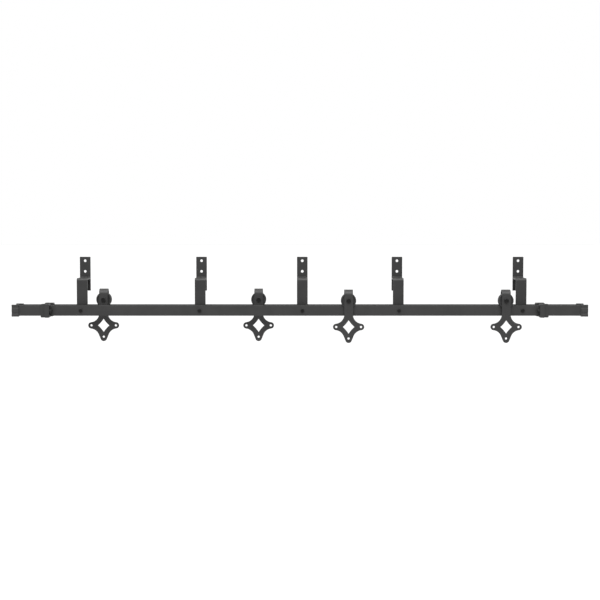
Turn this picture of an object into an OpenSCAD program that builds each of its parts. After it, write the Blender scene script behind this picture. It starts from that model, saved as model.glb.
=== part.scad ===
// Double-track sliding barn door hardware for two doors that pass each other.
// Two flat rails stand one in front of the other. The rear rail is screwed to the wall
// through spacers, and five bent brackets reach over it to carry the front rail.
// Each rail has two hangers, a stop near each end and a cap on each end.
// X runs along the rails, Y runs into the wall and Z is up. The wall's face is Y = 0 and
// the rails' centre line is Z = 0. The origin is on the middle fixing of the rear rail.
// All sizes are in millimetres.

/* [Rails] */
// Length of each rail bar, without its end caps
rail_len = 2128; // [2100:2:2400]
// Height of the rail bar
rail_h = 38; // [36:0.5:38]
// Thickness of the rail bar
rail_t = 6; // [5:0.5:6]
// Offset of the rails' middle from the middle bracket
rail_mid_x = -9; // [-20:1:20]
// Distance from the rear rail's middle plane to the front rail's
rail_spacing = 78; // [76:1:90]
// Length of the spacer tube behind each rail
spacer_len = 30; // [28:1:32]
// Outer diameter of the spacer tubes
spacer_d = 16; // [14:0.5:17]

/* [Brackets] */
// Width of the bracket bar
bracket_w = 40; // [30:1:50]
// Thickness of the bracket bar
bracket_t = 6; // [5:0.5:6]
// Height of the wall plate's top edge above the rails' centre line
wall_plate_top = 197; // [190:1:220]
// Height of the wall plate
wall_plate_h = 128; // [110:1:130]
// Height of the arm's top face above the rails' centre line
arm_top = 118.5; // [112:0.5:125]
// Outer radius of the arm's bend
arm_bend_r = 9; // [8:0.5:14]
// Diameter of the screw holes in the wall plate
wall_hole_d = 10; // [8:0.5:12]
// Distance between the two screw holes
wall_hole_pitch = 40; // [35:1:45]

/* [Fixings] */
// Diameter of the rail bolts and lag screws
bolt_d = 8; // [6:1:8]
// Width across the flats of the rail bolts' heads and nuts
bolt_head_w = 13; // [12:0.5:14]
// How far the rear rail's lag screws go into the wall
lag_depth = 45; // [30:1:60]

/* [Hangers] */
// Distance between the two hangers of a door
hanger_spread = 582; // [400:1:620]
// Middle of the rear door's pair of hangers
rear_pair_x = -455; // [-500:1:400]
// Middle of the front door's pair of hangers
front_pair_x = 462; // [-500:1:480]
// Width of the hanger strap
strap_w = 32; // [28:1:34]
// Thickness of the hanger strap
strap_t = 6; // [5:0.5:6]
// Clear gap between the strap's two legs
leg_gap = 26; // [25.5:0.5:28]
// Height of the strap's top above the rails' centre line
strap_top = 78.3; // [78:0.1:82]
// Outer diameter of the wheel
wheel_d = 56.5; // [54:0.5:58]
// Width of the wheel
wheel_w = 24; // [22:0.5:24]
// Diameter of the wheel's groove where it runs on the rail
groove_d = 36; // [34:0.5:36]

/* [Diamond plate] */
// Distance from the rails' centre line down to the middle of the diamond
diamond_drop = 59.5; // [56:0.1:62]
// Distance from the diamond's middle to each side hole
side_hole_x = 45.8; // [44:0.1:48]
// Distance from the diamond's middle down to the foot hole
foot_hole_drop = 42.7; // [40:0.1:43]
// Radius of the rounded side lobes and foot
lobe_r = 12; // [10:0.5:12]
// Radius of the hollow curves between the lobes
hollow_r = 35; // [34:0.5:38]
// Half width of the diamond window
window_x = 21.4; // [18:0.1:22]
// Half height of the diamond window
window_z = 25; // [20:0.1:26]

/* [Stops and caps] */
// Position of the left stops along the rails
left_stop_x = -951; // [-1020:1:-900]
// Position of the right stops along the rails
right_stop_x = 894; // [880:1:1000]
// Length of a stop along the rail
stop_w = 34; // [30:1:34]
// Height of a stop
stop_h = 50; // [46:1:50]
// How far the stop's boss stands in front of the rail's face
boss_reach = 20; // [18:0.5:20]
// Length of the rubber bumper in front of the boss
bumper_len = 10; // [8:0.5:12]
// Length of an end cap along the rail
cap_w = 26; // [22:1:30]
// Height of an end cap
cap_h = 44; // [42:1:46]
// Thickness of an end cap from front to back
cap_t = 14; // [12:0.5:15]

/* [Hidden] */
$fn = 48;

// Places of the brackets along the rails, where the wall's studs are
STATIONS = [-821, -381, 0, 358, 816];

// Middle plane of each rail, and its name
rear_y = -(spacer_len + rail_t / 2);
front_y = rear_y - rail_spacing;
RAIL_NAMES = ["rear", "front"];
RAIL_YS = [rear_y, front_y];
SIDE_NAMES = ["left", "right"];
STOP_XS = [left_stop_x, right_stop_x];
CAP_XS = [rail_mid_x - rail_len / 2, rail_mid_x + rail_len / 2];
PAIR_XS = [rear_pair_x, front_pair_x];

// Brackets
drop_front_y = front_y + rail_t / 2 + spacer_len;
drop_back_y = drop_front_y + bracket_t;
drop_bottom = -20;
wall_hole_inset = 15;
weld_leg = 4;
bolt_clearance_r = bolt_d / 2 + 0.25;

// Rail fixings
bolt_head_t = 5;
nut_t = 6.5;
washer_t = 1.6;
washer_r = 8;
lag_tip = 7;
lag_shank_r = bolt_d / 2 - 0.2;

// Hangers
leg_y = leg_gap / 2;
strap_out_y = leg_y + strap_t;
bend_z = strap_top - strap_out_y;
running_gap = 0.3;
axle_z = rail_h / 2 + groove_d / 2 + running_gap;
axle_r = 5;
axle_head_w = 16;
axle_head_t = 6.4;
axle_nut_t = 7;
axle_end = 1;
short_leg_bottom = 21;
groove_w = 8;
groove_mouth = 11;

// Ball bearing inside each wheel
bearing_r = 13;
bearing_w = 16;
inner_ring_r = 7.2;
outer_ring_r = 10.6;
shield_t = 0.6;
ball_r = 1.6;
ball_circle_r = 8.95;
ball_row_y = 3.7;
balls_per_row = 9;
ring_bore_r = axle_r + 0.05;

// Diamond plate
side_hole_r = 4.2;
foot_hole_r = 4.1;
foot_drop = 47.3;
window_hollow = 1.3;

// Stops and end caps
slot_gap = 0.2;
stop_sleeve_y = rail_t / 2 + 6;
boss_y = rail_t / 2 + boss_reach;
corner_r = 3;
bumper_r = 7;
bumper_edge_r = 3;
bumper_stem_r = 3;
bumper_stem = 8;
bumper_y = (leg_y + strap_out_y) / 2;
stop_screw_r = 2.5;
stop_screw_x = 9;
stop_screw_recess = 0.5;
cap_end = 3;
cap_groove = 1.6;
cap_edge_r = 1.5;

// Names of all nodes
HANGER_PARTS = [
    "strap", "wheel", "bearing_outer", "bearing_inner", "axle_bolt", "axle_nut", "axle_spacers"
];

// ---- shapes that several parts share ----

// A rod along Y
module rod_y(r, y0, y1) {
    translate([0, y0, 0]) rotate([-90, 0, 0]) cylinder(h = y1 - y0, r = r);
}

// A ring or tube along Y
module tube_y(r, bore_r, y0, y1) {
    difference() {
        rod_y(r, y0, y1);
        rod_y(bore_r, y0 - 1, y1 + 1);
    }
}

// A hexagonal bar along Y, sized across its flats
module hex_y(across, y0, y1) {
    translate([0, y0, 0]) rotate([-90, 0, 0]) cylinder(h = y1 - y0, r = across / sqrt(3), $fn = 6);
}

// A plate from a drawing in X and Z
module plate_xz(y0, y1) {
    translate([0, y1, 0]) rotate([90, 0, 0]) linear_extrude(y1 - y0) children();
}

// A bar along X from a drawing in Y and Z, centred on X = 0
module bar_x(length) {
    rotate([90, 0, 90]) linear_extrude(length, center = true) children();
}

module rounded_rect(w, h, r) {
    square([w - 2 * r, h], center = true);
    square([w, h - 2 * r], center = true);
    for (sx = [-1, 1], sy = [-1, 1]) translate([sx * (w / 2 - r), sy * (h / 2 - r)]) circle(r);
}

// ---- rails and their fixings ----

module rail(y) {
    color("#3c3c3e") difference() {
        translate([rail_mid_x, y, 0]) bar_x(rail_len) rounded_rect(rail_t, rail_h, 1);
        for (x = STATIONS) translate([x, y, 0]) rod_y(bolt_clearance_r, -rail_t, rail_t);
    }
}

module rail_spacers() {
    color("#38383a") for (x = STATIONS, y = RAIL_YS)
        translate([x, y + rail_t / 2, 0]) tube_y(spacer_d / 2, bolt_clearance_r, 0, spacer_len);
}

module front_rail_bolts() {
    face_y = front_y - rail_t / 2;
    color("#242426") for (x = STATIONS) translate([x, 0, 0]) {
        hex_y(bolt_head_w, face_y - bolt_head_t, face_y);
        rod_y(bolt_d / 2, face_y, drop_back_y + washer_t + nut_t + 2);
    }
}

module front_rail_nuts() {
    nut_y = drop_back_y + washer_t;
    color("#242426") for (x = STATIONS) translate([x, 0, 0]) difference() {
        hex_y(bolt_head_w, nut_y, nut_y + nut_t);
        rod_y(bolt_d / 2, nut_y - 1, nut_y + nut_t + 1);
    }
}

module rear_rail_lag_screws() {
    seat_y = rear_y - rail_t / 2 - washer_t;
    color("#242426") for (x = STATIONS) translate([x, 0, 0]) {
        hex_y(bolt_head_w, seat_y - bolt_head_t, seat_y);
        rod_y(lag_shank_r, seat_y, 0);
        rod_y(bolt_d / 2, 0, lag_depth - lag_tip);
        translate([0, lag_depth - lag_tip, 0]) rotate([-90, 0, 0])
            cylinder(h = lag_tip, r1 = bolt_d / 2, r2 = 0.6);
    }
}

// Under the lag screws' heads on the rear rail, and under the nuts of the front rail
module rail_washers() {
    color("#2a2a2c") for (x = STATIONS, y = [rear_y - rail_t / 2 - washer_t, drop_back_y])
        translate([x, y, 0]) tube_y(washer_r, bolt_clearance_r, 0, washer_t);
}

// ---- brackets ----

module wall_plate(x) {
    mid_z = wall_plate_top - wall_plate_h / 2;
    upper_hole_z = wall_plate_top - wall_hole_inset;
    color("#3c3c3e") translate([x, 0, 0]) difference() {
        plate_xz(-bracket_t, 0) translate([0, mid_z]) rounded_rect(bracket_w, wall_plate_h, 1.5);
        for (z = [upper_hole_z, upper_hole_z - wall_hole_pitch])
            translate([0, 0, z]) rod_y(wall_hole_d / 2, -bracket_t - 1, 1);
    }
}

// Side view of the arm: level from the wall plate, bent down in front of the rear rail
module arm_profile() {
    bend_y = drop_front_y + arm_bend_r;
    bend_z = arm_top - arm_bend_r;
    translate([bend_y, arm_top - bracket_t]) square([-bracket_t - bend_y, bracket_t]);
    translate([drop_front_y, drop_bottom]) square([bracket_t, bend_z - drop_bottom]);
    translate([bend_y, bend_z]) intersection() {
        difference() {
            circle(arm_bend_r);
            circle(arm_bend_r - bracket_t);
        }
        translate([-arm_bend_r, 0]) square(arm_bend_r);
    }
    // Weld beads above and below the arm's end
    translate([-bracket_t, arm_top]) polygon([
        [0, weld_leg], [-weld_leg, 0], [-weld_leg, -bracket_t], [0, -bracket_t - weld_leg]
    ]);
}

module arm(x) {
    color("#3e3e40") translate([x, 0, 0]) difference() {
        bar_x(bracket_w) arm_profile();
        rod_y(bolt_clearance_r, drop_front_y - 1, drop_back_y + 1);
    }
}

// ---- stops, bumpers and end caps ----

// inward is 1 where the rail's middle lies towards +X, and -1 where it lies towards -X
module stop_body(inward) {
    color("#333335") difference() {
        union() {
            plate_xz(-stop_sleeve_y, stop_sleeve_y) rounded_rect(stop_w, stop_h, corner_r);
            plate_xz(-boss_y, -stop_sleeve_y)
                translate([inward * stop_w / 4, 0]) rounded_rect(stop_w / 2, stop_h, corner_r);
        }
        cube([stop_w + 2, rail_t + 2 * slot_gap, rail_h + 2 * slot_gap], center = true);
        for (sx = [-1, 1]) translate([sx * stop_screw_x, 0, -stop_h / 2 - 1])
            cylinder(h = (stop_h - rail_h) / 2 + 1, r = stop_screw_r + 0.1);
        bumper_place(inward) cylinder(h = 2 * bumper_stem + 1, r = bumper_stem_r + 0.1, center = true);
    }
}

// Puts a shape that points along +Z on the boss's inner face
module bumper_place(inward) {
    translate([inward * stop_w / 2, -bumper_y, 0]) rotate([0, inward * 90, 0]) children();
}

module bumper(inward) {
    color("#161617") bumper_place(inward) {
        translate([0, 0, -bumper_stem]) cylinder(h = bumper_stem, r = bumper_stem_r);
        cylinder(h = bumper_len - bumper_edge_r, r = bumper_r);
        cylinder(h = bumper_len, r = bumper_r - bumper_edge_r);
        translate([0, 0, bumper_len - bumper_edge_r])
            rotate_extrude() translate([bumper_r - bumper_edge_r, 0]) circle(bumper_edge_r);
    }
}

module stop_screws() {
    top_z = -rail_h / 2;
    bottom_z = -stop_h / 2 + stop_screw_recess;
    color("#202022") for (x = STOP_XS, y = RAIL_YS, sx = [-1, 1])
        translate([x + sx * stop_screw_x, y, bottom_z]) cylinder(h = top_z - bottom_z, r = stop_screw_r);
}

// Side view of an end cap, with two grooves along its front and back faces
module cap_profile() {
    difference() {
        rounded_rect(cap_t, cap_h, cap_edge_r);
        for (s = [-1, 1]) {
            translate([s * cap_t / 2 - cap_groove, 8]) square([2 * cap_groove, 9]);
            translate([s * cap_t / 2 - cap_groove, -12.5]) square([2 * cap_groove, 7]);
        }
    }
}

// Drawn about the rail's end, with the cap's closed end towards -X
module end_cap() {
    color("#2b2b2d") difference() {
        translate([cap_w / 2 - cap_end, 0, 0]) bar_x(cap_w) cap_profile();
        translate([cap_w / 2, 0, 0])
            cube([cap_w, rail_t + 2 * slot_gap, rail_h + 2 * slot_gap], center = true);
    }
}

// ---- hangers, each drawn about the middle of its rail at X = 0 ----

// Front view of the diamond plate, about the middle of its window. Each hollow curve
// touches the strap's edge and a side lobe, and the foot tapers along a common tangent.
module diamond_outline() {
    hollow_x = strap_w / 2 + hollow_r;
    hollow_z = sqrt(pow(hollow_r + lobe_r, 2) - pow(hollow_x - side_hole_x, 2));
    to_foot = [-hollow_x, hollow_z - foot_drop];
    tangent = atan2(to_foot.y, to_foot.x) - acos((hollow_r + lobe_r) / norm(to_foot));
    normal = [cos(tangent), sin(tangent)];
    upper_end = [hollow_x, -hollow_z] + hollow_r * normal;
    lower_end = [0, -foot_drop] - lobe_r * normal;
    difference() {
        for (s = [0, 1]) mirror([s, 0]) polygon([
            [0, hollow_z], [hollow_x, hollow_z], [side_hole_x, 0], [hollow_x, -hollow_z],
            upper_end, lower_end, [0, -foot_drop]
        ]);
        for (sx = [-1, 1], sz = [-1, 1]) translate([sx * hollow_x, sz * hollow_z]) circle(hollow_r, $fn = 96);
    }
    for (place = [[-side_hole_x, 0], [side_hole_x, 0], [0, -foot_drop]]) translate(place) circle(lobe_r);
}

// The window is a diamond whose four sides curve inwards
module diamond_window() {
    side = norm([window_x, window_z]);
    curve_r = (side * side / 4 + window_hollow * window_hollow) / (2 * window_hollow);
    reach = (curve_r - window_hollow) / side;
    difference() {
        polygon([[window_x, 0], [0, window_z], [-window_x, 0], [0, -window_z]]);
        for (sx = [-1, 1], sz = [-1, 1])
            translate([sx * (window_x / 2 + reach * window_z), sz * (window_z / 2 + reach * window_x)])
                circle(curve_r, $fn = 180);
    }
}

// Side view of the strap: a long front leg, a round bend over the wheel and a short rear leg
module strap_profile() {
    strap_bottom = hollow_top() - 0.5;
    translate([-strap_out_y, strap_bottom]) square([strap_t, bend_z - strap_bottom]);
    translate([leg_y, short_leg_bottom]) square([strap_t, bend_z - short_leg_bottom]);
    translate([0, bend_z]) intersection() {
        difference() {
            circle(strap_out_y, $fn = 96);
            circle(leg_y, $fn = 96);
        }
        translate([-strap_out_y, 0]) square([2 * strap_out_y, strap_out_y]);
    }
}

// Height where the diamond's upper hollow curves leave the strap's edges
function hollow_top() =
    sqrt(pow(hollow_r + lobe_r, 2) - pow(strap_w / 2 + hollow_r - side_hole_x, 2)) - diamond_drop;

module strap() {
    color("#3a3a3c") difference() {
        union() {
            bar_x(strap_w) strap_profile();
            plate_xz(-strap_out_y, -leg_y) translate([0, -diamond_drop]) diamond_outline();
        }
        plate_xz(-strap_out_y - 1, -leg_y + 1) translate([0, -diamond_drop]) {
            diamond_window();
            for (sx = [-1, 1]) translate([sx * side_hole_x, 0]) circle(side_hole_r);
            translate([0, -foot_hole_drop]) circle(foot_hole_r);
        }
        translate([0, 0, axle_z]) rod_y(ring_bore_r, -strap_out_y - 1, strap_out_y + 1);
    }
}

// Half section of the wheel: radius against place along the axle
module wheel_section() {
    rim_r = wheel_d / 2;
    half_w = wheel_w / 2;
    polygon([
        [bearing_r, -bearing_w / 2], [16, -bearing_w / 2], [17, -half_w + 3.5], [22.5, -half_w + 3.5],
        [23.5, -half_w], [rim_r - 1.8, -half_w], [rim_r, -half_w + 1.8], [rim_r, -groove_mouth / 2],
        [groove_d / 2, -groove_w / 2], [groove_d / 2, groove_w / 2], [rim_r, groove_mouth / 2],
        [rim_r, half_w - 1.8], [rim_r - 1.8, half_w], [23.5, half_w],
        [22.5, half_w - 3.5], [17, half_w - 3.5], [16, bearing_w / 2], [bearing_r, bearing_w / 2]
    ]);
}

// Turns a half section about the axle
module turned() {
    translate([0, 0, axle_z]) rotate([-90, 0, 0]) rotate_extrude($fn = 96) children();
}

module wheel() {
    color("#29292b") turned() wheel_section();
}

// The bearing's outer ring with its two shields, and the two rows of balls inside
module bearing_outer() {
    color("#8a8a8c") {
        turned() {
            translate([outer_ring_r, -bearing_w / 2]) square([bearing_r - outer_ring_r, bearing_w]);
            for (y = [-bearing_w / 2, bearing_w / 2 - shield_t])
                translate([inner_ring_r + 0.3, y]) square([outer_ring_r - inner_ring_r, shield_t]);
        }
        for (row = [-1, 1], i = [0:balls_per_row - 1])
            translate([0, row * ball_row_y, axle_z]) rotate([0, (i + row / 4) * 360 / balls_per_row, 0])
                translate([ball_circle_r, 0, 0]) sphere(ball_r, $fn = 24);
    }
}

module bearing_inner() {
    color("#9a9a9c") translate([0, 0, axle_z]) tube_y(inner_ring_r, ring_bore_r, -bearing_w / 2, bearing_w / 2);
}

module axle_bolt() {
    color("#242426") translate([0, 0, axle_z]) {
        hex_y(axle_head_w, -strap_out_y - axle_head_t, -strap_out_y);
        rod_y(axle_r, -strap_out_y, strap_out_y + axle_nut_t + axle_end);
    }
}

module axle_nut() {
    color("#242426") translate([0, 0, axle_z]) difference() {
        hex_y(axle_head_w, strap_out_y, strap_out_y + axle_nut_t);
        rod_y(axle_r, strap_out_y - 1, strap_out_y + axle_nut_t + 1);
    }
}

module axle_spacers() {
    color("#767678") translate([0, 0, axle_z]) {
        tube_y(inner_ring_r - 0.2, ring_bore_r, -leg_y, -bearing_w / 2);
        tube_y(inner_ring_r - 0.2, ring_bore_r, bearing_w / 2, leg_y);
    }
}

// ---- assembly ----

for (i = [0:1]) rail(RAIL_YS[i]);

for (i = [0:len(STATIONS) - 1]) {
    wall_plate(STATIONS[i]);
    arm(STATIONS[i]);
}

rail_spacers();
front_rail_bolts();
front_rail_nuts();
rear_rail_lag_screws();
rail_washers();
stop_screws();

for (i = [0:1], j = [0:1]) {
    name = str(RAIL_NAMES[i], "_", SIDE_NAMES[j]);
    inward = 1 - 2 * j;
    translate([STOP_XS[j], RAIL_YS[i], 0]) {
        stop_body(inward);
        bumper(inward);
    }
    translate([CAP_XS[j], RAIL_YS[i], 0]) mirror([j, 0, 0])
        end_cap();
    translate([PAIR_XS[i] - inward * hanger_spread / 2, RAIL_YS[i], 0]) {
        strap();
        wheel();
        bearing_outer();
        bearing_inner();
        axle_bolt();
        axle_nut();
        axle_spacers();
    }
}
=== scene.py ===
"""Looks of a double-track sliding barn door kit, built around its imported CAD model.

Pieces cut from flat bar, the end caps and the bearing rings are copies of the CAD nodes with
rounded edges. Turned and threaded pieces, such as wheels, bolts, nuts and bumpers, and the weld
beads are made here with the detail that the CAD leaves out. All lengths are in metres, in the
CAD's frame: X along the rails, Y into the wall, Z up.
"""

import math
import random

import bmesh
import bpy
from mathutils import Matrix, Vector, noise


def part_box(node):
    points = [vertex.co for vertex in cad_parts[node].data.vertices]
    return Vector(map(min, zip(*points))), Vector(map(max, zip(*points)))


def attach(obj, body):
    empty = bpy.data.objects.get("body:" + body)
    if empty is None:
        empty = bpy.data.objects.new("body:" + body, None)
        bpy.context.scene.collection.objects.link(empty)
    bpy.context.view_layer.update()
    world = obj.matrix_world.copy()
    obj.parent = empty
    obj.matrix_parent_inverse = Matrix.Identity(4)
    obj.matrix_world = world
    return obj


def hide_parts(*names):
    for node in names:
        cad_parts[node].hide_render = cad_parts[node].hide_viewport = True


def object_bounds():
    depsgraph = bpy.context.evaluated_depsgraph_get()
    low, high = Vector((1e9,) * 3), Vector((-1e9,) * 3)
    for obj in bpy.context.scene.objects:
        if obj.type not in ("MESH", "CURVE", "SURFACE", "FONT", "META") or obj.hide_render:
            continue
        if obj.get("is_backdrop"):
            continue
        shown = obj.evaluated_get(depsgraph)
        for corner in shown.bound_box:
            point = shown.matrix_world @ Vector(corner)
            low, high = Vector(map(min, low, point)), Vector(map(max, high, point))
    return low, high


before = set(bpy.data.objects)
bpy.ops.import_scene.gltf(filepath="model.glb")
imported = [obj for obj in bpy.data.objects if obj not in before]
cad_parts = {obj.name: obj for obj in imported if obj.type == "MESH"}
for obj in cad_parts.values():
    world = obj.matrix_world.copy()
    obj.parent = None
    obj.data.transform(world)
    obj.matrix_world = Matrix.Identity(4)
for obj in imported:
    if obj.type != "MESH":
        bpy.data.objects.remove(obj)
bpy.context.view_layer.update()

MM = 0.001
TURN = 2 * math.pi
X_AXIS, Y_AXIS, Z_AXIS = Vector((1, 0, 0)), Vector((0, 1, 0)), Vector((0, 0, 1))
RAILS = ("rear_rail", "front_rail")
PAIRS = ("rear_left", "rear_right", "front_left", "front_right")
BRACKETS = (1, 2, 3, 4, 5)

# Camera: straight in front of the rails, a little above them, tipped down at them
CAMERA_PLACE = (-0.0086, -4.783, 0.3083)
CAMERA_TILT = math.radians(3.294)
CAMERA_LENS = 75.82
CAMERA_SENSOR = 36

# Floor: how far it lies under the object, and how far it reaches
FLOOR_DROP = 0.55
FLOOR_REACH = 60

# Lights: power in watts, or strength for the sun and the surroundings
SURROUNDINGS_STRENGTH = 1.0
SUN_FROM = (-0.12, -1.0, 1.15)
SUN_STRENGTH = 3.8
SUN_SPREAD = math.radians(50)
SOFT_BOX_POWER = 20
SOFT_BOX_PLACE = (0, -0.4, 2.6)
SOFT_BOX_SIZE = (4.5, 2.4)

# Black of each finish, as the share of light that it scatters back
COAT_BLACK = 0.0165
OXIDE_BLACK = 0.005
MOULDED_BLACK = 0.018
RUBBER_BLACK = 0.006

# Bar, fixings and bearings, as in the CAD
BAR = 6 * MM
WELD_LEG = 4 * MM
RAIL_BOLT_R = 4 * MM
RAIL_HEAD = 5 * MM
RAIL_HEX = 13 * MM
SPACER_LEN = 30 * MM
SPACER_R = 8 * MM
FIXING_BORE_R = 4.25 * MM
WASHER_R = 8 * MM
WASHER_T = 1.6 * MM
AXLE_R = 5 * MM
AXLE_HEAD = 6.4 * MM
AXLE_HEX = 16 * MM
BUMPER_R = 7 * MM
BUMPER_LEN = 10 * MM
BUMPER_STEM_R = 3 * MM
SET_SCREW_R = 2.5 * MM
SET_SCREW_X = 9 * MM
WHEEL_GROOVE_R = 18 * MM

# Threads: pitch and depth
RAIL_THREAD = (1.25 * MM, 0.6 * MM)
AXLE_THREAD = (1.5 * MM, 0.7 * MM)
LAG_THREAD = (3.2 * MM, 1.1 * MM)

# Rods: plain length of a rail bolt's shank and how far its thread starts inside that, length of
# a lag screw's point, and how far any rod's tip reaches past its thread
RAIL_BOLT_PLAIN = 43 * MM
THREAD_OVERLAP = 2 * MM
LAG_POINT = 8 * MM
ROD_TIP = 0.5 * MM

# Hexagonal heads and nuts: radius of the flat face as a share of the width across the flats,
# slope of the chamfer round it, and depth of the hollow in a head's face
HEX_FACE = 0.475
HEX_SLOPE = math.tan(math.radians(30))
RAIL_DISH = 0.25 * MM
AXLE_DISH = 0.3 * MM

# Radius of the rounded edges on each kind of piece
RAIL_EDGE = 0.5 * MM
WALL_PLATE_EDGE = 0.6 * MM
ARM_EDGE = 0.7 * MM
STOP_EDGE = 0.9 * MM
END_CAP_EDGE = 0.7 * MM
STRAP_EDGE = 0.6 * MM
STEEL_TUBE_EDGE = 0.2 * MM
BEARING_EDGE = 0.15 * MM
WASHER_EDGE = 0.25 * MM
SPACER_EDGE = 0.7 * MM
WHEEL_EDGE = 0.45 * MM


# ---- materials ----

class Surface:
    """A material with one Principled shader, and short ways to add nodes to it."""

    def __init__(self, name, metallic=0.0, specular=0.3):
        self.material = bpy.data.materials.new(name)
        self.material.use_nodes = True
        self.tree = self.material.node_tree
        self.shader = self.tree.nodes["Principled BSDF"]
        self.shader.inputs["Metallic"].default_value = metallic
        self.shader.inputs["Specular IOR Level"].default_value = specular
        self.place = self.tree.nodes.new("ShaderNodeTexCoord").outputs["Object"]

    def feed(self, socket, value):
        if isinstance(value, bpy.types.NodeSocket):
            self.tree.links.new(value, socket)
        else:
            socket.default_value = value

    def add(self, kind, inputs, **settings):
        """A new node. Each input is a number, a colour or another node's output."""
        node = self.tree.nodes.new(kind)
        for key, value in settings.items():
            setattr(node, key, value)
        for key, value in inputs.items():
            self.feed(node.inputs[key], value)
        return node

    def set(self, name, value):
        self.feed(self.shader.inputs[name], value)

    def noise(self, scale, detail=3.0, stretch=(1, 1, 1)):
        """A noise from 0 to 1, whose scale is in waves per metre."""
        place = self.add("ShaderNodeMapping", {"Vector": self.place, "Scale": stretch}).outputs[0]
        node = self.add("ShaderNodeTexNoise", {"Vector": place, "Scale": scale, "Detail": detail})
        return node.outputs["Fac"]

    def ramp(self, value, low, high, at_low=0.0, at_high=1.0):
        """at_low below low, at_high above high, and a smooth change between them."""
        inputs = {"Value": value, "From Min": low, "From Max": high, "To Min": at_low, "To Max": at_high}
        return self.add("ShaderNodeMapRange", inputs, interpolation_type="SMOOTHSTEP").outputs["Result"]

    def times(self, a, b):
        return self.add("ShaderNodeMath", {0: a, 1: b}, operation="MULTIPLY").outputs[0]

    def plus(self, a, b):
        return self.add("ShaderNodeMath", {0: a, 1: b}, operation="ADD").outputs[0]

    def mix(self, factor, a, b):
        """A colour between a and b. The node's colour sockets are numbers 6 and 7."""
        return self.add("ShaderNodeMix", {0: factor, 6: a, 7: b}, data_type="RGBA").outputs[2]

    def bump(self, height, distance, below=None):
        inputs = {"Height": height, "Distance": distance}
        if below is not None:
            inputs["Normal"] = below
        return self.add("ShaderNodeBump", inputs).outputs["Normal"]

    def edge(self):
        """1 on the rounded edges of a piece and 0 on its flats."""
        return self.add("ShaderNodeAttribute", {}, attribute_name="edge").outputs["Fac"]

    def upward(self):
        """1 where the surface faces up, and 0 where it is upright or faces down."""
        normal = self.add("ShaderNodeNewGeometry", {}).outputs["Normal"]
        return self.ramp(self.add("ShaderNodeSeparateXYZ", {0: normal}).outputs["Z"], 0.35, 0.95)


def grey(level, warmth=0.0):
    """A grey colour, with a share more red and as much less blue."""
    return (level * (1 + warmth), level, level * (1 - warmth), 1)


def powder_coat(name, black=COAT_BLACK, gloss=0.44):
    """Satin black powder coat: a fine orange peel, faint clouds, a painted highlight on upward faces, thin
    at the edges.
    """
    s = Surface(name)
    clouds = s.ramp(s.noise(14, 5.0), 0.3, 0.7)
    colour = s.mix(clouds, grey(black * 0.9), grey(black * 1.12, 0.01))
    speckle = s.times(s.ramp(s.noise(1900, 2.0), 0.58, 0.74), 0.45)
    colour = s.mix(speckle, colour, grey(black * 2))
    # Painted highlight: upward faces are mixed in patches towards a lighter grey, by up to a quarter,
    # standing in for light from above; the same mask also makes them rougher
    painted_top_light = s.times(s.upward(), s.ramp(s.noise(55, 6.0), 0.35, 0.8, 0.04, 0.24))
    colour = s.mix(painted_top_light, colour, grey(0.14, 0.03))
    thin = s.times(s.edge(), s.ramp(s.noise(160, 4.0), 0.48, 0.68, 0.04, 0.42))
    s.set("Base Color", s.mix(thin, colour, grey(0.07, 0.02)))
    rough = s.ramp(s.noise(38, 4.0), 0.3, 0.7, gloss - 0.05, gloss + 0.07)
    s.set("Roughness", s.plus(rough, s.times(painted_top_light, 0.3)))
    peel = s.bump(s.noise(620, 2.0), 0.2 * MM)
    s.set("Normal", s.bump(s.noise(2600, 2.0), 0.06 * MM, peel))
    return s.material


def black_oxide(name):
    """Blackened steel of bolts and nuts: dark, slightly oily, rubbed brighter on its edges."""
    s = Surface(name, metallic=0.25, specular=0.16)
    stain = s.ramp(s.noise(120, 5.0), 0.35, 0.7)
    colour = s.mix(stain, grey(OXIDE_BLACK * 0.8), grey(OXIDE_BLACK * 1.5, 0.03))
    rub = s.times(s.edge(), s.ramp(s.noise(420, 3.0), 0.42, 0.7, 0.02, 0.5))
    s.set("Base Color", s.mix(rub, colour, grey(0.09, 0.02)))
    s.set("Roughness", s.ramp(s.noise(260, 4.0), 0.3, 0.7, 0.34, 0.52))
    s.set("Normal", s.bump(s.noise(1500, 3.0), 0.04 * MM))
    return s.material


def nylon(name):
    """Moulded black nylon of the wheels, with faint turning lines."""
    s = Surface(name)
    fleck = s.ramp(s.noise(700, 3.0), 0.35, 0.75)
    s.set("Base Color", s.mix(fleck, grey(MOULDED_BLACK * 0.9), grey(MOULDED_BLACK * 1.4, 0.01)))
    s.set("Roughness", s.ramp(s.noise(90, 4.0), 0.3, 0.7, 0.34, 0.52))
    grain = s.bump(s.noise(1100, 3.0), 0.05 * MM)
    s.set("Normal", s.bump(s.noise(60, 2.0, (1, 45, 1)), 0.06 * MM, grain))
    return s.material


def moulded_plastic(name):
    """Fine spark-eroded texture of the injection-moulded end caps."""
    s = Surface(name)
    cloud = s.ramp(s.noise(60, 4.0), 0.3, 0.7)
    colour = s.mix(cloud, grey(MOULDED_BLACK * 0.9), grey(MOULDED_BLACK * 1.2))
    s.set("Base Color", s.mix(s.times(s.edge(), 0.3), colour, grey(0.05)))
    s.set("Roughness", s.ramp(s.noise(150, 3.0), 0.3, 0.7, 0.46, 0.58))
    s.set("Normal", s.bump(s.noise(3000, 2.0), 0.06 * MM))
    return s.material


def rubber(name):
    """Matt black rubber with a chalky bloom."""
    s = Surface(name, specular=0.25)
    bloom = s.ramp(s.noise(230, 5.0), 0.4, 0.75)
    s.set("Base Color", s.mix(bloom, grey(RUBBER_BLACK), grey(RUBBER_BLACK * 2)))
    s.set("Roughness", s.ramp(s.noise(180, 4.0), 0.3, 0.7, 0.66, 0.85))
    s.set("Normal", s.bump(s.noise(1700, 3.0), 0.08 * MM))
    return s.material


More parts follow.
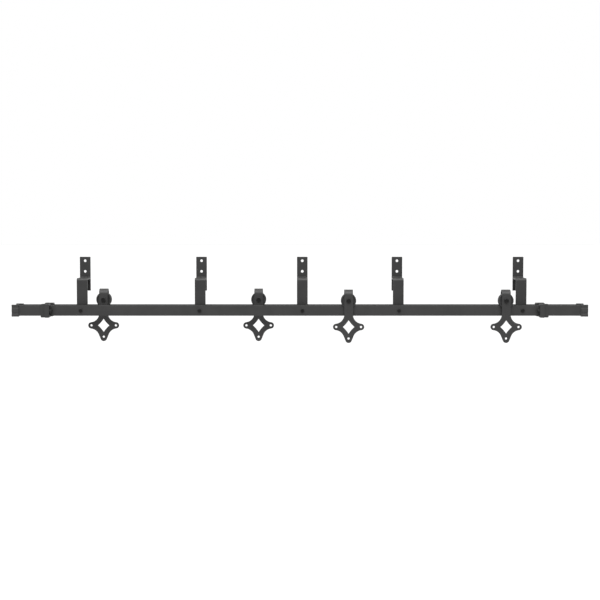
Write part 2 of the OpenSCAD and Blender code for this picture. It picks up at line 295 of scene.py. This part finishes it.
def ground_steel(name):
    """Bare steel of the bearings and axle tubes, with fine grinding lines round the axle."""
    s = Surface(name, metallic=1.0, specular=0.5)
    lines = s.noise(90, 3.0, (1, 60, 1))
    s.set("Base Color", s.mix(s.ramp(lines, 0.3, 0.7), grey(0.36), grey(0.50, 0.01)))
    s.set("Roughness", s.ramp(s.noise(300, 3.0), 0.3, 0.7, 0.22, 0.36))
    s.set("Normal", s.bump(lines, 0.02 * MM))
    return s.material


def floor_paint(name):
    """Plain pale studio floor."""
    s = Surface(name, specular=0.2)
    s.set("Base Color", s.mix(s.noise(3, 2.0), grey(0.56), grey(0.58)))
    s.set("Roughness", 0.9)
    return s.material


MATERIALS = {
    "rail_steel": powder_coat("rail_powder_coat"),
    "bracket_steel": powder_coat("bracket_powder_coat", COAT_BLACK * 0.82),
    "hanger_steel": powder_coat("hanger_powder_coat", COAT_BLACK * 0.97),
    "stop_steel": powder_coat("stop_powder_coat", COAT_BLACK * 0.93, 0.46),
    "spacer": powder_coat("spacer_powder_coat", COAT_BLACK * 0.85, 0.48),
    "fasteners": black_oxide("black_oxide_steel"),
    "wheel": nylon("black_nylon"),
    "bearing_steel": ground_steel("ground_steel"),
    "rubber": rubber("black_rubber"),
    "end_cap": moulded_plastic("black_moulded_plastic"),
}


# ---- pieces ----

def finish_mesh(mesh, sharp_angle=32):
    """Smooth shading, with a crease wherever the surface turns by more than the angle."""
    mesh.polygons.foreach_set("use_smooth", [True] * len(mesh.polygons))
    mesh.set_sharp_from_angle(angle=math.radians(sharp_angle))


def add_piece(name, mesh, slot, body, replaced=()):
    """Puts a mesh in the scene as a piece of the object that moves with a body."""
    mesh.materials.clear()
    mesh.materials.append(MATERIALS[slot])
    piece = bpy.data.objects.new(name, mesh)
    bpy.context.scene.collection.objects.link(piece)
    even = piece.modifiers.new("even_normals", "WEIGHTED_NORMAL")
    even.keep_sharp = True
    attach(piece, body)
    if replaced:
        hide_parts(*replaced)


def rounded_copy(node, slot, body, radius):
    """A copy of a CAD node's mesh whose sharp edges are rounded to a radius."""
    flat, crease = math.radians(0.5), math.radians(28)
    bm = bmesh.new()
    bm.from_mesh(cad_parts[node].data)
    bmesh.ops.remove_doubles(bm, verts=bm.verts, dist=0.002 * MM)
    bmesh.ops.dissolve_limit(bm, angle_limit=flat, verts=bm.verts, edges=bm.edges)
    sharp = [e for e in bm.edges if e.is_manifold and e.calc_face_angle() > crease]
    edge = bm.faces.layers.float.new("edge")
    result = bmesh.ops.bevel(
        bm, geom=sharp, offset=radius, offset_type="OFFSET", segments=3,
        profile=0.5, affect="EDGES", clamp_overlap=True,
    )
    for face in result["faces"]:
        face[edge] = 1.0
    bmesh.ops.remove_doubles(bm, verts=bm.verts, dist=0.001 * MM)
    name = "detailed_" + node
    mesh = bpy.data.meshes.new(name)
    bm.to_mesh(mesh)
    bm.free()
    finish_mesh(mesh)
    add_piece(name, mesh, slot, body, [node])


class Build:
    """Collects the parts of one mesh, with a mark on the faces that are worn edges."""

    def __init__(self):
        self.points, self.faces, self.worn = [], [], []

    def turned(self, centre, rings, closed=False, segments=64, worn=(), axis=Y_AXIS):
        """A solid turned about an axis through centre.

        Each ring is (place along the axis, radius), and either may be a function of the angle
        round the axis. A ring of radius 0 is a point. A closed solid joins its last ring to
        its first, as a tube does. worn holds the numbers of the rings that start a worn edge.
        """
        side = Z_AXIS if abs(axis.z) < 0.5 else X_AXIS
        across = side.cross(axis)
        starts = []
        for place, radius in rings:
            starts.append(len(self.points))
            for k in range(1 if radius == 0 else segments):
                angle = TURN * k / segments
                y = place(angle) if callable(place) else place
                r = radius(angle) if callable(radius) else radius
                direction = across * math.cos(angle) + side * math.sin(angle)
                self.points.append(Vector(centre) + axis * y + direction * r)
        pairs = list(zip(range(len(rings)), range(1, len(rings))))
        if closed:
            pairs.append((len(rings) - 1, 0))
        for i, j in pairs:
            a, b = starts[i], starts[j]
            for k in range(segments):
                n = (k + 1) % segments
                if rings[i][1] == 0:
                    face = (a, b + n, b + k)
                elif rings[j][1] == 0:
                    face = (a + k, a + n, b)
                else:
                    face = (a + k, a + n, b + n, b + k)
                self.add_face(face, i in worn)

    def add_face(self, face, worn=False):
        self.faces.append(face)
        self.worn.append(1.0 if worn else 0.0)

    def mesh(self, name, sharp_angle=32):
        mesh = bpy.data.meshes.new(name)
        mesh.from_pydata([tuple(p) for p in self.points], [], self.faces)
        mesh.attributes.new("edge", "FLOAT", "FACE").data.foreach_set("value", self.worn)
        bm = bmesh.new()
        bm.from_mesh(mesh)
        bmesh.ops.recalc_face_normals(bm, faces=bm.faces)
        bm.to_mesh(mesh)
        bm.free()
        finish_mesh(mesh, sharp_angle)
        return mesh


def rounded_section(corners, radius, steps=4):
    """A closed outline with its corners rounded. Each corner is (place, radius from the axis)."""
    outline = []
    for i, corner in enumerate(corners):
        here = Vector(corner)
        before = Vector(corners[i - 1]) - here
        after = Vector(corners[(i + 1) % len(corners)]) - here
        cut = min(radius / math.tan(before.angle(after) / 2), 0.45 * before.length, 0.45 * after.length)
        start, end = here + before.normalized() * cut, here + after.normalized() * cut
        for k in range(steps + 1):
            t = k / steps
            outline.append(tuple(start * (1 - t) ** 2 + here * 2 * t * (1 - t) + end * t ** 2))
    return outline


def tube(build, centre, radius, bore, start, end, edge):
    """A tube along Y with rounded ends."""
    section = [(start, bore), (start, radius), (end, radius), (end, bore)]
    build.turned(centre, rounded_section(section, edge), closed=True)


def hexagon(across_flats, angle):
    """Radius of a hexagon at an angle from one of its corners."""
    return across_flats / 2 / math.cos(angle % (TURN / 6) - TURN / 12)


def chamfered_hex(build, centre, across_flats, start, end, bore=0.0, dish=0.0):
    """A hexagonal head or nut along Y, whose corners are cut by a cone at both ends.

    It has either a bore with eased mouths, or a start face that is dished by a depth.
    """
    face_r = HEX_FACE * across_flats
    ease = 0.4 * MM

    def corner(angle):
        return hexagon(across_flats, angle)

    def cut(angle):
        return (corner(angle) - face_r) * HEX_SLOPE

    sides = [(start, face_r), (lambda angle: start + cut(angle), corner),
             (lambda angle: end - cut(angle), corner), (end, face_r)]
    if bore:
        rings = [(start + ease, bore), (start, bore + ease), *sides, (end, bore + ease), (end - ease, bore)]
        worn = (0, 2, 4, 6)
    else:
        rings = [(start + dish, 0), (start + 0.4 * dish, 0.82 * face_r), *sides, (end, 0)]
        worn = (2, 4)
    build.turned(centre, rings, closed=bool(bore), segments=72, worn=worn)


def threaded_rod(build, centre, radius, start, end, thread, point=0.0):
    """A rod along Y with a helical thread. Its end is chamfered, or tapers to a point.

    The tip reaches ROD_TIP past the end. The thread deepens from nothing over its first turn.
    """
    pitch, depth = thread
    rows_per_turn = 8
    rows = round((end - start) / pitch * rows_per_turn)
    rings = [(start, 0)]
    for i in range(rows + 1):
        y = start + (end - start) * i / rows
        shrink = min(1.0, (end - y + ROD_TIP) / point) if point else 1.0
        run_in = min(1.0, (y - start) / (0.7 * pitch))

        def shape(angle, y=y, shrink=shrink, run_in=run_in):
            # The crest is flat in the middle of each turn, and slopes down to the root on both sides
            phase = (y / pitch - angle / TURN) % 1.0
            crest = min(1.0, max(0.0, 1.6 - 3.2 * abs(phase - 0.5)))
            return (radius - depth * run_in * (1 - crest)) * shrink

        rings.append((y, shape))
    if not point:
        rings.append((end + ROD_TIP, (radius - depth) * 0.92))
    rings.append((end + ROD_TIP, 0))
    build.turned(centre, rings, segments=40)


def plain_rod(build, centre, radius, start, end):
    """A rod along Y with chamfered ends."""
    edge = 0.3 * MM
    rings = [(start, 0), (start, radius - edge), (start + edge, radius),
             (end - edge, radius), (end, radius - edge), (end, 0)]
    build.turned(centre, rings, segments=48)


def middle(node):
    low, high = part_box(node)
    return (low + high) / 2


def rails_and_brackets():
    for rail in RAILS:
        rounded_copy(rail, "rail_steel", "root", RAIL_EDGE)
    for i in BRACKETS:
        rounded_copy(f"bracket_{i}_wall_plate", "bracket_steel", "root", WALL_PLATE_EDGE)
        rounded_copy(f"bracket_{i}_arm", "bracket_steel", "root", ARM_EDGE)
        weld_bead(i, "top", 1)
        weld_bead(i, "under", -1)


def weld_bead(i, name, side):
    """A rippled fillet weld along the corner between a bracket's arm and its wall plate."""
    arm_low, arm_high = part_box(f"bracket_{i}_arm")
    corner_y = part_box(f"bracket_{i}_wall_plate")[0].y
    corner_z = arm_high.z - WELD_LEG - (0 if side > 0 else BAR)
    centre_x = (arm_low.x + arm_high.x) / 2
    end_gap = 1.2 * MM
    half = (arm_high.x - arm_low.x) / 2 - end_gap
    root = 0.3 * MM
    ripple, ripple_height = 1.7 * MM, 0.45 * MM
    drift_height, flattening = 0.35 * MM, 0.12 * MM
    wobble_scale, drift_scale = 400, 90
    steps, rounds = 110, 10
    shift = random.Random(100 * i + side).uniform(0, 10)
    build = Build()
    rows = []
    for a in range(steps + 1):
        x = -half + 2 * half * a / steps
        beat = (x / ripple + 0.15 * noise.noise(Vector((x * wobble_scale, shift, 0)))) % 1.0
        swell = ripple_height * math.sqrt(1 - (2 * beat - 1) ** 2) - 0.1 * MM
        drift = drift_height * noise.noise(Vector((x * drift_scale, shift, 3)))
        end_fade = min(1.0, math.sqrt(max(0.0, 1 - (abs(x) / half) ** 10)) + 0.02)
        radius = (WELD_LEG * 1.02 + swell + drift) * end_fade
        row = []
        for b in range(rounds + 1):
            angle = TURN / 4 * b / rounds
            r = radius - flattening * math.sin(angle * 2)
            row.append(len(build.points))
            build.points.append(Vector((centre_x + x, corner_y - r * math.cos(angle),
                                        corner_z + side * r * math.sin(angle))))
        row.append(len(build.points))
        build.points.append(Vector((centre_x + x, corner_y + root, corner_z - side * root)))
        rows.append(row)
    for row, after in zip(rows, rows[1:]):
        for b in range(len(row)):
            n = (b + 1) % len(row)
            build.add_face((row[b], row[n], after[n], after[b]))
    build.add_face(tuple(rows[0]))
    build.add_face(tuple(rows[-1]))
    name = f"bracket_{i}_weld_{name}"
    add_piece(name, build.mesh(name, 50), "bracket_steel", "root")


def rail_fixings():
    """Bolts, nuts, lag screws, washers and spacers at the five stations of both rails."""
    bolt_low, bolt_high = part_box("front_rail_bolts")
    lag_low, lag_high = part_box("rear_rail_lag_screws")
    nut_low, nut_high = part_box("front_rail_nuts")
    bolt_neck, lag_neck = bolt_low.y + RAIL_HEAD, lag_low.y + RAIL_HEAD
    plain_end = bolt_neck + RAIL_BOLT_PLAIN
    bolts, nuts, lags, washers, spacers = Build(), Build(), Build(), Build(), Build()
    for i in BRACKETS:
        here = (middle(f"bracket_{i}_wall_plate").x, 0, 0)
        chamfered_hex(bolts, here, RAIL_HEX, bolt_low.y, bolt_neck, dish=RAIL_DISH)
        plain_rod(bolts, here, RAIL_BOLT_R - 0.05 * MM, bolt_neck, plain_end)
        thread_start, thread_end = plain_end - THREAD_OVERLAP, bolt_high.y - ROD_TIP
        threaded_rod(bolts, here, RAIL_BOLT_R, thread_start, thread_end, RAIL_THREAD)
        chamfered_hex(nuts, here, RAIL_HEX, nut_low.y, nut_high.y, bore=RAIL_BOLT_R - 0.3 * MM)
        chamfered_hex(lags, here, RAIL_HEX, lag_low.y, lag_neck, dish=RAIL_DISH)
        plain_rod(lags, here, RAIL_BOLT_R - 0.2 * MM, lag_neck, 0.5 * MM)
        threaded_rod(lags, here, RAIL_BOLT_R, 0, lag_high.y - ROD_TIP, LAG_THREAD, LAG_POINT)
        for start in (lag_neck, nut_low.y - WASHER_T):
            tube(washers, here, WASHER_R, FIXING_BORE_R, start, start + WASHER_T, WASHER_EDGE)
        for rail in RAILS:
            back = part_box(rail)[1].y
            tube(spacers, here, SPACER_R, FIXING_BORE_R, back, back + SPACER_LEN, SPACER_EDGE)
    for node, build, slot in (
        ("front_rail_bolts", bolts, "fasteners"), ("front_rail_nuts", nuts, "fasteners"),
        ("rear_rail_lag_screws", lags, "fasteners"), ("rail_washers", washers, "fasteners"),
        ("rail_spacers", spacers, "spacer"),
    ):
        add_piece("detailed_" + node, build.mesh(node), slot, "root", [node])


def stops_and_caps():
    for pair in PAIRS:
        rounded_copy(f"{pair}_stop", "stop_steel", "root", STOP_EDGE)
        rounded_copy(f"{pair}_end_cap", "end_cap", "root", END_CAP_EDGE)
        rubber_bumper(pair)
    set_screws()


def rubber_bumper(pair):
    """A rubber buffer with a domed end, a dimple in it, and two shallow grooves round its side."""
    low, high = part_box(f"{pair}_bumper")
    inward = 1 if pair.endswith("left") else -1
    foot, face = (low.x, high.x) if inward > 0 else (high.x, low.x)
    base = face - inward * BUMPER_LEN
    ease = 0.3 * MM
    dome, dome_steps = 3 * MM, 8
    dimple_r, dimple_floor_r, dimple = 2.2 * MM, 1.4 * MM, 0.4 * MM
    section = [(foot, 0), (foot, BUMPER_STEM_R - ease), (foot + inward * ease, BUMPER_STEM_R),
               (base, BUMPER_STEM_R), (base, BUMPER_R - ease), (base + inward * ease, BUMPER_R)]
    for groove in (2.4, 4.8):
        for step, cut in ((-0.7, 0), (-0.4, 0.3), (0, 0.45), (0.4, 0.3), (0.7, 0)):
            section.append((base + inward * (groove + step) * MM, BUMPER_R - cut * MM))
    for k in range(dome_steps + 1):
        angle = TURN / 4 * k / dome_steps
        place = face - inward * dome * (1 - math.sin(angle))
        section.append((place, BUMPER_R - dome * (1 - math.cos(angle))))
    dimple_floor = face - inward * dimple
    section += [(face, dimple_r), (dimple_floor, dimple_floor_r), (dimple_floor, 0)]
    build = Build()
    build.turned((0, (low.y + high.y) / 2, (low.z + high.z) / 2), section, axis=X_AXIS)
    name = f"detailed_{pair}_bumper"
    add_piece(name, build.mesh(name, 40), "rubber", "root", [f"{pair}_bumper"])


def set_screws():
    """Two socket set screws up through the bottom of each stop."""
    low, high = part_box("stop_screws")
    socket, deep = 2.5 * MM, 2.6 * MM
    ease, end_ease = 0.35 * MM, 0.5 * MM
    build = Build()

    def key(angle):
        return hexagon(socket, angle)

    rings = [(low.z + deep, 0), (low.z + deep, key), (low.z + 0.1 * MM, key),
             (low.z, socket * 0.62), (low.z, SET_SCREW_R - ease), (low.z + ease, SET_SCREW_R),
             (high.z - end_ease, SET_SCREW_R), (high.z, SET_SCREW_R - end_ease), (high.z, 0)]
    for pair in PAIRS:
        x = middle(f"{pair}_stop").x
        y = middle(pair.split("_")[0] + "_rail").y
        for side in (-1, 1):
            build.turned((x + side * SET_SCREW_X, y, 0), rings, segments=48, axis=Z_AXIS, worn=(3, 4))
    add_piece("detailed_stop_screws", build.mesh("stop_screws"), "fasteners", "root", ["stop_screws"])


def hangers():
    """The strap, axle and bearing of each hanger, and its wheel, which is a body of its own."""
    for pair in PAIRS:
        hanger, wheel = pair + "_hanger", pair + "_wheel"
        rounded_copy(pair + "_strap", "hanger_steel", hanger, STRAP_EDGE)
        rounded_copy(pair + "_bearing_inner", "bearing_steel", hanger, STEEL_TUBE_EDGE)
        rounded_copy(pair + "_axle_spacers", "bearing_steel", hanger, STEEL_TUBE_EDGE)
        rounded_copy(pair + "_bearing_outer", "bearing_steel", wheel, BEARING_EDGE)
        axle(pair, hanger)
        grooved_wheel(pair, wheel)


def axle(pair, hanger):
    """The axle bolt with its chamfered head and threaded end, and its nut."""
    bolt_node, nut_node = pair + "_axle_bolt", pair + "_axle_nut"
    low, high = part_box(bolt_node)
    nut_low, nut_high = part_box(nut_node)
    centre = ((low.x + high.x) / 2, 0, (low.z + high.z) / 2)
    neck = low.y + AXLE_HEAD
    bolt = Build()
    chamfered_hex(bolt, centre, AXLE_HEX, low.y, neck, dish=AXLE_DISH)
    plain_rod(bolt, centre, AXLE_R - 0.02 * MM, neck, nut_low.y + 1 * MM)
    threaded_rod(bolt, centre, AXLE_R, nut_low.y, high.y - ROD_TIP, AXLE_THREAD)
    add_piece("detailed_" + bolt_node, bolt.mesh(bolt_node), "fasteners", hanger, [bolt_node])
    nut = Build()
    chamfered_hex(nut, centre, AXLE_HEX, nut_low.y, nut_high.y, bore=AXLE_R - 0.35 * MM)
    add_piece("detailed_" + nut_node, nut.mesh(nut_node), "fasteners", hanger, [nut_node])


def grooved_wheel(pair, body):
    """A moulded wheel: two flanges with a groove between them, and a recessed web on each side."""
    node = pair + "_wheel"
    low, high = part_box(node)
    rim, half = (high.z - low.z) / 2, (high.y - low.y) / 2
    web = half - 3.5 * MM
    chamfer = 1.8 * MM
    hub, hub_bore, hub_r = 8 * MM, 13 * MM, 15.6 * MM
    recess_inner_r, recess_outer_r, lip_r = 17 * MM, 22.4 * MM, 23.6 * MM
    groove_mouth, groove_floor = 5.5 * MM, 4 * MM
    # One side of the wheel, from its bore out over its rim to the bottom of its groove
    one_side = [
        (-hub, hub_bore), (-hub, hub_r), (-web, recess_inner_r), (-web, recess_outer_r), (-half, lip_r),
        (-half, rim - chamfer), (chamfer - half, rim), (-groove_mouth, rim), (-groove_floor, WHEEL_GROOVE_R),
    ]
    section = one_side + [(-y, r) for y, r in reversed(one_side)]
    build = Build()
    build.turned((low + high) / 2, rounded_section(section, WHEEL_EDGE, 3), closed=True, segments=128)
    add_piece("detailed_" + node, build.mesh(node), "wheel", body, [node])


# ---- studio ----

def camera():
    data = bpy.data.cameras.new("camera")
    data.lens = CAMERA_LENS
    data.sensor_width = CAMERA_SENSOR
    cam = bpy.data.objects.new("camera", data)
    bpy.context.scene.collection.objects.link(cam)
    cam.location = CAMERA_PLACE
    cam.rotation_euler = (math.radians(90) - CAMERA_TILT, 0, 0)
    bpy.context.scene.camera = cam


def add_light(name, kind, place, power):
    """A light that points at the object from a place. Its power is in watts, or a sun's strength."""
    data = bpy.data.lights.new(name, kind)
    data.energy = power
    light = bpy.data.objects.new(name, data)
    bpy.context.scene.collection.objects.link(light)
    light.location = place
    light.rotation_euler = Vector(place).to_track_quat("Z", "Y").to_euler()
    return data


def studio():
    """A pale floor, white surroundings, a soft sun from the front and a soft box above."""
    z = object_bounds()[0].z - FLOOR_DROP
    corners = [(-1, -1), (1, -1), (1, 1), (-1, 1)]
    mesh = bpy.data.meshes.new("floor")
    mesh.from_pydata([(x * FLOOR_REACH, y * FLOOR_REACH, z) for x, y in corners], [], [(0, 1, 2, 3)])
    mesh.materials.append(floor_paint("pale_floor"))
    floor = bpy.data.objects.new("floor", mesh)
    bpy.context.scene.collection.objects.link(floor)
    floor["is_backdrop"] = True
    world = bpy.data.worlds.new("studio")
    bpy.context.scene.world = world
    world.use_nodes = True
    background = world.node_tree.nodes["Background"]
    background.inputs["Color"].default_value = (1, 1, 1, 1)
    background.inputs["Strength"].default_value = SURROUNDINGS_STRENGTH
    add_light("soft_sun", "SUN", SUN_FROM, SUN_STRENGTH).angle = SUN_SPREAD
    box = add_light("soft_box_above", "AREA", SOFT_BOX_PLACE, SOFT_BOX_POWER)
    box.shape = "RECTANGLE"
    box.size, box.size_y = SOFT_BOX_SIZE
    bpy.context.scene.view_settings.view_transform = "Standard"


rails_and_brackets()
rail_fixings()
stops_and_caps()
hangers()
camera()
studio()
